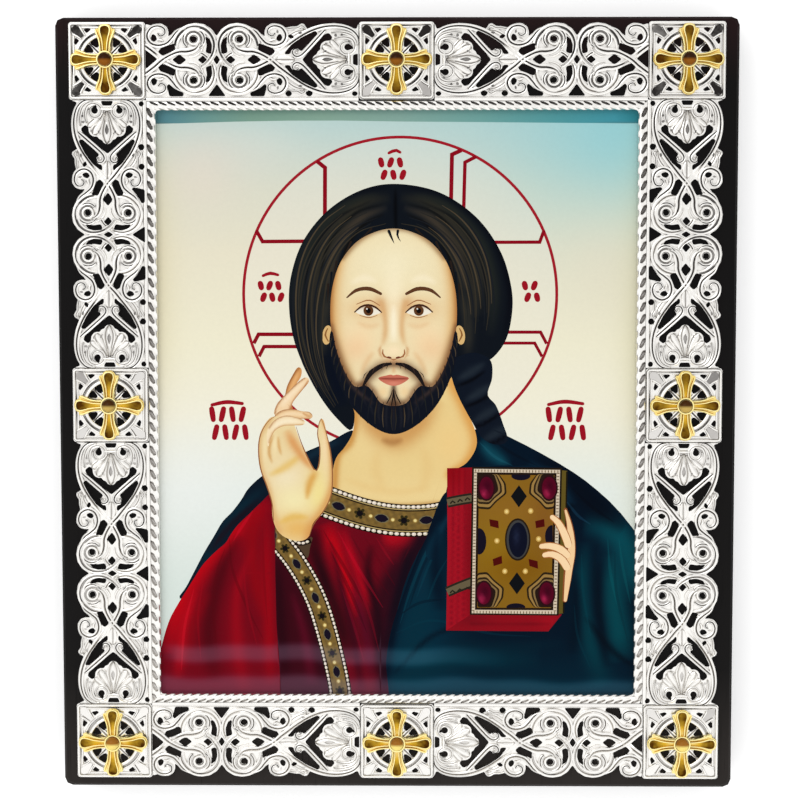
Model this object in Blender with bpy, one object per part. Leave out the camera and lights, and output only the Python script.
"""Devotional icon: a wooden board carries a recessed picture panel and a cast openwork silver frame, made of eight
scroll panels and eight cross tiles, with rope mouldings round the opening, gilt crosses and amber cabochons.
It lies on its back: the underside is at Z = 0, +Y runs to the head of the picture and +Z is the face."""

import math

import bpy
from mathutils import Vector
from mathutils.geometry import delaunay_2d_cdt, tessellate_polygon

MM = 0.001

# board and picture, millimetres
BOARD_WIDTH = 210.0
BOARD_LENGTH = 240.0
BOARD_THICKNESS = 18.0
BOARD_CORNER = 2.5
CORNER_STEPS = 2
EDGE_BEVEL = 0.8
PICTURE_WIDTH = 151.2
PICTURE_LENGTH = 184.4
PICTURE_THICKNESS = 1.0
FIT = 0.3
SEAT = 0.05

# silver frame: its set towards the head of the board, the tiles' centres, their reach outwards and inwards
SET_HIGH = 0.8
TILE_X = 89.1
TILE_Y = 106.15
TILE_OUT = 11.5
TILE_IN = 12.1
TILE_HEIGHT = 2.3
TILE_RING = 7.6
TILE_RING_HEIGHT = 2.9

# scroll panels: the centre line, the reach of the plain rail, the edge and the crest of the cast bands
SIDE_STRIP_X = 88.95
SIDE_RAIL = 12.0
TOP_RAIL = 12.4
PANEL_EDGE = 1.7
PANEL_CREST = 2.8
PANEL_END = 41.1
SIDE_MIRROR_Y = 52.78
TOP_STRETCH = 1.057
TOP_MIRROR_X = 55.1
TOP_CUT = -20.55

# rope mouldings: outer and inner edge, strand pitch, lean of a strand over the width, valley and crest
ROPE_X = (76.8, 74.0)
ROPE_Y = (93.55, 90.8)
SIDE_PITCH = 3.72
TOP_PITCH = 2.66
SIDE_LEAN = 3.72
TOP_LEAN = 2.66
ROPE_VALLEY = 1.9
ROPE_CREST = 3.0

# gilt crosses and cabochons
CROSS_HEIGHT = 1.1
CROSS_REACH = 10.9
CROSS_CREST = 0.6
STONE_RADIUS = 2.15
STONE_GIRDLE = 0.7
STONE_HEIGHT = 2.1
STONE_SIDES = 6

# Half of one side panel, from the line where two pairs of rings meet (v = 0) to the heart at the tile.
# u runs across the strip, towards the picture where a shape has one side only; v runs along it.
CENTRE_DIAMOND = [(0.0, -0.85), (1.15, 0.0), (0.0, 0.85), (-1.15, 0.0)]
KNOT_DIAMOND = [(0.0, 2.9), (1.0, 4.0), (0.0, 5.2), (-1.0, 4.0)]
LONG_DIAMOND = [(0.0, 9.0), (1.4, 10.8), (0.0, 12.7), (-1.4, 10.8)]
RING_CRESCENT = [(1.95, 1.5), (2.45, 2.9), (7.2, 2.95), (4.8, 1.4)]
RING_EYE = [(5.2, 6.7), (6.1, 7.6), (7.1, 6.6), (6.3, 5.6)]
CROSSING_SLOT = [(3.0, 12.05), (4.85, 12.35), (2.8, 16.8), (1.45, 15.5)]
HEART_SLOT = [(1.75, 19.7), (3.4, 22.4), (2.7, 24.5), (8.0, 29.1), (8.0, 27.4), (4.6, 22.2)]
HEART_CHEVRON = [(0.0, 25.1), (7.6, 31.5), (6.8, 33.3), (4.6, 30.4), (0.0, 27.9)]
RAIL_TRIANGLE = [(7.5, 0.0), (11.1, -2.2), (11.1, 2.2)]
RAIL_NOTCH = [(11.0, 9.8), (11.1, 13.8), (7.6, 14.2)]
OUTER_EDGE = [(7.6, 0.0), (10.4, 2.4), (11.3, 5.8), (10.6, 9.0), (7.4, 14.2), (9.6, 13.7), (11.2, 16.4),
              (9.7, 20.5), (11.1, 24.6), (9.6, 26.2), (11.1, 31.0), (11.1, 35.4), (9.6, 40.2)]
OUTER_RING_CREST = [(5.0, 0.75), (9.5, 3.0), (9.9, 8.4), (5.6, 11.3)]
INNER_RING_CREST = [(5.2, 3.8), (3.4, 6.8), (5.4, 9.3), (8.4, 8.5), (8.6, 4.9)]
HEART_CREST = [(0.0, 14.6), (3.3, 19.5), (6.5, 23.3), (9.0, 28.0), (9.7, 35.0)]
PALMETTE_CREST = [(0.0, 29.2), (0.0, 37.6)]


def clear_scene():
    for obj in list(bpy.data.objects):
        bpy.data.objects.remove(obj, do_unlink=True)


def material(name, colour, roughness, metallic):
    made = bpy.data.materials.new(name)
    made.use_nodes = True
    shader = made.node_tree.nodes["Principled BSDF"]
    shader.inputs["Base Color"].default_value = (*colour, 1.0)
    shader.inputs["Roughness"].default_value = roughness
    shader.inputs["Metallic"].default_value = metallic
    return made


def add_mesh(name, corners, faces, finish, smooth=False):
    mesh = bpy.data.meshes.new(name)
    mesh.from_pydata([Vector(corner) * MM for corner in corners], [], faces)
    mesh.materials.append(finish)
    mesh.polygons.foreach_set("use_smooth", [smooth] * len(mesh.polygons))
    mesh.update()
    obj = bpy.data.objects.new(name, mesh)
    bpy.context.scene.collection.objects.link(obj)
    return obj


def area(loop):
    return 0.5 * sum(a[0] * b[1] - b[0] * a[1] for a, b in zip(loop, loop[1:] + loop[:1]))


def wound(loop, clockwise):
    return loop[::-1] if (area(loop) < 0) != clockwise else list(loop)


def inside(point, loop):
    x, y = point
    odd = False
    for (ax, ay), (bx, by) in zip(loop, loop[1:] + loop[:1]):
        if (ay > y) != (by > y) and x < (bx - ax) * (y - ay) / (by - ay) + ax:
            odd = not odd
    return odd


def triangles_between(points, edges, loops):
    """Triangles of the sheet inside the first loop and outside the others."""
    flat, _, faces, _, _, _ = delaunay_2d_cdt([Vector(p) for p in points], edges, [], 0, 1e-5)
    if len(flat) != len(points):
        raise ValueError("two outlines cross")
    kept = []
    for face in faces:
        middle = sum((flat[i] for i in face), Vector((0.0, 0.0))) / 3
        if inside(middle, loops[0]) and not any(inside(middle, hole) for hole in loops[1:]):
            kept.append(tuple(face))
    return kept


def cast_plate(name, outline, openings, crests, base, edge_height, crest_height, finish):
    """A plate with openings; its upper face rises from the edges to the crest lines."""
    loops = [wound(outline, False)] + [wound(hole, True) for hole in openings]
    rim, edges, walls = [], [], []
    for loop in loops:
        start = len(rim)
        ends = [start + (i + 1) % len(loop) for i in range(len(loop))]
        edges += list(zip(range(start, start + len(loop)), ends))
        rim += loop
    points, ridge_edges = list(rim), []
    for crest in crests:
        last = None
        for point in crest:
            index = points.index(point) if point in points else len(points)
            if index == len(points):
                points.append(point)
            if last is not None:
                ridge_edges.append((last, index))
            last = index
    upper = triangles_between(points, edges + ridge_edges, loops)
    lower = triangles_between(rim, edges, loops)
    count = len(points)
    heights = [edge_height] * len(rim) + [crest_height] * (count - len(rim))
    corners = [(x, y, base + z) for (x, y), z in zip(points, heights)] + [(x, y, base) for x, y in rim]
    walls = [(count + a, count + b, b, a) for a, b in edges]
    faces = upper + walls + [tuple(count + i for i in reversed(face)) for face in lower]
    return add_mesh(name, corners, faces, finish)


def across(shapes):
    """The shapes and their twins on the other side of the strip's centre line."""
    return [list(s) for s in shapes] + [[(-u, v) for u, v in s] for s in shapes]


def along(shapes, first, last):
    """The shapes and their twins beyond v = 0, keeping those that lie wholly between first and last."""
    both = [list(s) for s in shapes] + [[(u, -v) for u, v in s] for s in shapes]
    return [s for s in both if all(first <= v <= last for _, v in s)]


def strip_openings(first, last):
    chevron = HEART_CHEVRON + [(-u, v) for u, v in HEART_CHEVRON[-2:0:-1]]
    doubled = across([RING_CRESCENT, RING_EYE, CROSSING_SLOT, HEART_SLOT])
    middle = [KNOT_DIAMOND, LONG_DIAMOND, chevron, RAIL_NOTCH]
    return [CENTRE_DIAMOND, RAIL_TRIANGLE] + along(doubled + middle, first, last)


def strip_crests(first, last):
    return along(across([OUTER_RING_CREST, INNER_RING_CREST + INNER_RING_CREST[:1], HEART_CREST])
                 + [PALMETTE_CREST], first, last)


def strip_outline(first, last, rail):
    edge = [(-u, -v) for u, v in OUTER_EDGE[:0:-1] if -v > first]
    edge += [(-u, v) for u, v in OUTER_EDGE if v < last]
    return [(rail, first), (-10.9, first)] + edge + [(-10.9, last), (rail, last)]


def place_side(x_side, y_middle):
    return lambda u, v: (x_side * (SIDE_STRIP_X - u), y_middle + v + SET_HIGH)


def place_top(x_side, y_side):
    return lambda u, v: (x_side * (TOP_MIRROR_X - v * TOP_STRETCH), y_side * (TILE_Y - u) + SET_HIGH)


def scroll_panel(name, place, first, last, rail, finish):
    moved = lambda shape: [place(u, v) for u, v in shape]
    cast_plate(name, moved(strip_outline(first, last, rail)),
               [moved(s) for s in strip_openings(first, last)],
               [moved(s) for s in strip_crests(first, last)],
               BOARD_THICKNESS + SEAT, PANEL_EDGE, PANEL_CREST, finish)


def turned(point, quarter):
    x, y = point
    for _ in range(quarter):
        x, y = -y, x
    return x, y


def cross_tile(name, x, y, finish):
    left = TILE_IN if x > 0 else TILE_OUT
    right = TILE_IN if x < 0 else TILE_OUT
    below = TILE_IN if y > 0 else TILE_OUT
    above = TILE_IN if y < 0 else TILE_OUT
    y += SET_HIGH
    outline = [(x - left, y - below), (x + right, y - below), (x + right, y + above), (x - left, y + above)]
    window = [(2.2, 3.8), (2.5, 6.2), (4.5, 5.1)]
    openings = []
    for quarter in range(4):
        for shape in (window, [(b, a) for a, b in window]):
            openings.append([(x + a, y + b) for a, b in (turned(p, quarter) for p in shape)])
    ring = [(x + TILE_RING * math.cos(a), y + TILE_RING * math.sin(a))
            for a in (math.radians(45 * i) for i in range(8))]
    cast_plate(name, outline, openings, [ring + ring[:1]], BOARD_THICKNESS + SEAT,
               TILE_HEIGHT, TILE_RING_HEIGHT, finish)


def gilt_cross(name, x, y, finish):
    """Four flared arms with a raised spine each, meeting in a seat for the stone."""
    arm = [(1.3, -1.3), (9.2, -2.8), (CROSS_REACH, -1.9), (CROSS_REACH, 1.9), (9.2, 2.8)]
    y += SET_HIGH
    outline, crests = [], []
    for quarter in range(4):
        outline += [(x + a, y + b) for a, b in (turned(p, quarter) for p in arm)]
        spine = [turned(p, quarter) for p in ((STONE_RADIUS + 0.4, 0.0), (CROSS_REACH - 1.4, 0.0))]
        crests.append([(x + a, y + b) for a, b in spine])
    base = BOARD_THICKNESS + SEAT + TILE_RING_HEIGHT + SEAT
    cast_plate(name, outline, [], crests, base, CROSS_HEIGHT, CROSS_HEIGHT + CROSS_CREST, finish)


def cabochon(name, x, y, finish):
    y += SET_HIGH
    base = BOARD_THICKNESS + TILE_RING_HEIGHT + CROSS_HEIGHT + CROSS_CREST + 3 * SEAT
    rings = [(STONE_RADIUS, 0.0), (STONE_RADIUS, STONE_GIRDLE)]
    turn = [2 * math.pi * i / STONE_SIDES for i in range(STONE_SIDES)]
    corners = [(x + r * math.cos(a), y + r * math.sin(a), base + z) for r, z in rings for a in turn]
    corners.append((x, y, base + STONE_HEIGHT))
    faces = [tuple(reversed(range(STONE_SIDES)))]
    for i in range(STONE_SIDES):
        j = (i + 1) % STONE_SIDES
        faces.append((i, j, STONE_SIDES + j, STONE_SIDES + i))
        faces.append((STONE_SIDES + i, STONE_SIDES + j, 2 * STONE_SIDES))
    add_mesh(name, corners, faces, finish, smooth=True)


def rope_moulding(name, half_outer, half_inner, width, pitch, lean, place, finish):
    """A mitred bar whose upper face is a row of leaning strands, each a crest between two valleys."""
    def height(across_part, v):
        phase = (v - lean * across_part) / pitch
        return ROPE_VALLEY + (ROPE_CREST - ROPE_VALLEY) * abs(2 * (phase - math.floor(phase + 0.5)))

    base = BOARD_THICKNESS + SEAT
    rows, lines = [], {}
    for part, half in ((0.0, half_outer), (1.0, half_inner)):
        first = math.ceil((-half + 0.3 - lean * part) / (pitch / 2))
        last = math.floor((half - 0.3 - lean * part) / (pitch / 2))
        inner = [(k, k * pitch / 2 + lean * part) for k in range(first, last + 1)]
        row = [(None, -half)] + inner + [(None, half)]
        rows.append([(k, part, v) for k, v in row])
    flat = rows[0] + rows[1][::-1]
    for index, (k, _, _) in enumerate(flat):
        if k is not None:
            lines.setdefault(k, []).append(index)
    points = [place(width * part, v) for _, part, v in flat]
    ends = list(range(1, len(points))) + [0]
    edges = list(zip(range(len(points)), ends)) + [tuple(pair) for pair in lines.values() if len(pair) == 2]
    upper = triangles_between(points, edges, [points])
    count = len(points)
    corners = [(*p, base + height(part, v)) for p, (_, part, v) in zip(points, flat)]
    feet = [0, len(rows[0]) - 1, len(rows[0]), count - 1]
    corners += [(*points[i], base) for i in feet]
    walls = [list(range(feet[0], feet[1] + 1)) + [count + 1, count], [feet[1], feet[2], count + 2, count + 1],
             list(range(feet[2], feet[3] + 1)) + [count + 3, count + 2], [feet[3], feet[0], count, count + 3]]
    floor = [count, count + 1, count + 2, count + 3]
    if area(points) > 0:
        walls = [wall[::-1] for wall in walls]
        floor = floor[::-1]
    faces = upper + [floor]
    for wall in walls:
        shape = [Vector(corners[i]) for i in wall]
        faces += [tuple(wall[i] for i in face) for face in tessellate_polygon([shape])]
    add_mesh(name, corners, faces, finish)


def rounded(half_x, half_y, radius):
    loop = []
    for quarter, (sx, sy) in enumerate(((1, 1), (-1, 1), (-1, -1), (1, -1))):
        for step in range(CORNER_STEPS + 1):
            turn = math.pi / 2 * (quarter + step / CORNER_STEPS)
            loop.append((sx * (half_x - radius) + radius * math.cos(turn),
                         sy * (half_y - radius) + radius * math.sin(turn)))
    return loop


def backing_board(finish):
    """The wooden board: bevelled upper edge, and a shallow sinking that takes the picture panel."""
    body = rounded(BOARD_WIDTH / 2, BOARD_LENGTH / 2, BOARD_CORNER)
    brow = rounded(BOARD_WIDTH / 2 - EDGE_BEVEL, BOARD_LENGTH / 2 - EDGE_BEVEL, BOARD_CORNER)
    half_x = PICTURE_WIDTH / 2 + FIT
    half_y = PICTURE_LENGTH / 2 + FIT
    sink = [(sx * half_x, sy * half_y + SET_HIGH) for sx, sy in ((1, 1), (-1, 1), (-1, -1), (1, -1))]
    depth = BOARD_THICKNESS - PICTURE_THICKNESS - SEAT
    n = len(body)
    corners = [(*p, 0.0) for p in body] + [(*p, BOARD_THICKNESS - EDGE_BEVEL) for p in body]
    corners += [(*p, BOARD_THICKNESS) for p in brow]
    corners += [(*p, BOARD_THICKNESS) for p in sink] + [(*p, depth) for p in sink]
    faces = [tuple(reversed(range(n)))]
    for level in (0, n):
        faces += [(level + i, level + (i + 1) % n, level + n + (i + 1) % n, level + n + i) for i in range(n)]
    ring_edges = [(i, (i + 1) % n) for i in range(n)] + [(n + i, n + (i + 1) % 4) for i in range(4)]
    rim = triangles_between(brow + sink, ring_edges, [brow, sink])
    faces += [tuple(2 * n + i for i in face) for face in rim]
    top = 3 * n
    faces += [(top + i, top + (i + 1) % 4, top + 4 + (i + 1) % 4, top + 4 + i) for i in range(4)]
    faces.append((top + 4, top + 5, top + 6, top + 7))
    add_mesh("backing_board", corners, faces, finish)


def icon_picture(finish):
    cx, cy = PICTURE_WIDTH / 2, PICTURE_LENGTH / 2
    low = BOARD_THICKNESS - PICTURE_THICKNESS
    ring = [(sx * cx, sy * cy + SET_HIGH) for sx, sy in ((-1, -1), (1, -1), (1, 1), (-1, 1))]
    corners = [(*p, low) for p in ring] + [(*p, BOARD_THICKNESS) for p in ring]
    faces = [(3, 2, 1, 0), (4, 5, 6, 7)] + [(i, (i + 1) % 4, 4 + (i + 1) % 4, 4 + i) for i in range(4)]
    add_mesh("icon_picture", corners, faces, finish)


clear_scene()
wood = material("dark_wood", (0.035, 0.018, 0.012), 0.35, 0.0)
print_gloss = material("glossy_print", (0.45, 0.28, 0.22), 0.25, 0.0)
silver = material("polished_silver", (0.86, 0.85, 0.82), 0.22, 1.0)
gold = material("polished_gilt", (0.9, 0.66, 0.22), 0.22, 1.0)
amber = material("dark_amber", (0.16, 0.04, 0.015), 0.12, 0.0)

backing_board(wood)
icon_picture(print_gloss)

for word_y, side_y in (("top", 1), ("bottom", -1)):
    for word_x, side_x in (("left", -1), ("right", 1)):
        scroll_panel(f"scroll_panel_{word_y}_{word_x}", place_top(side_x, side_y),
                     TOP_CUT, PANEL_END, TOP_RAIL, silver)
        scroll_panel(f"scroll_panel_{word_x}_{'upper' if side_y > 0 else 'lower'}",
                     place_side(side_x, side_y * SIDE_MIRROR_Y), -PANEL_END, PANEL_END, SIDE_RAIL, silver)

for word_y, y in (("top", TILE_Y), ("middle", 0.0), ("bottom", -TILE_Y)):
    for word_x, x in (("left", -TILE_X), ("middle", 0.0), ("right", TILE_X)):
        if x or y:
            cross_tile(f"cross_tile_{word_y}_{word_x}", x, y, silver)
            gilt_cross(f"gilt_cross_{word_y}_{word_x}", x, y, gold)
            cabochon(f"cabochon_{word_y}_{word_x}", x, y, amber)

rope_depth_x = ROPE_X[0] - ROPE_X[1]
rope_depth_y = ROPE_Y[0] - ROPE_Y[1]
for word, side in (("left", -1), ("right", 1)):
    rope_moulding(f"rope_moulding_{word}", ROPE_Y[0], ROPE_Y[1], rope_depth_x, SIDE_PITCH, -SIDE_LEAN,
                  lambda u, v, side=side: (side * (ROPE_X[0] - u), v + SET_HIGH), silver)
for word, side in (("top", 1), ("bottom", -1)):
    rope_moulding(f"rope_moulding_{word}", ROPE_X[0], ROPE_X[1], rope_depth_y, TOP_PITCH, TOP_LEAN,
                  lambda u, v, side=side: (v, side * (ROPE_Y[0] - u) + SET_HIGH), silver)
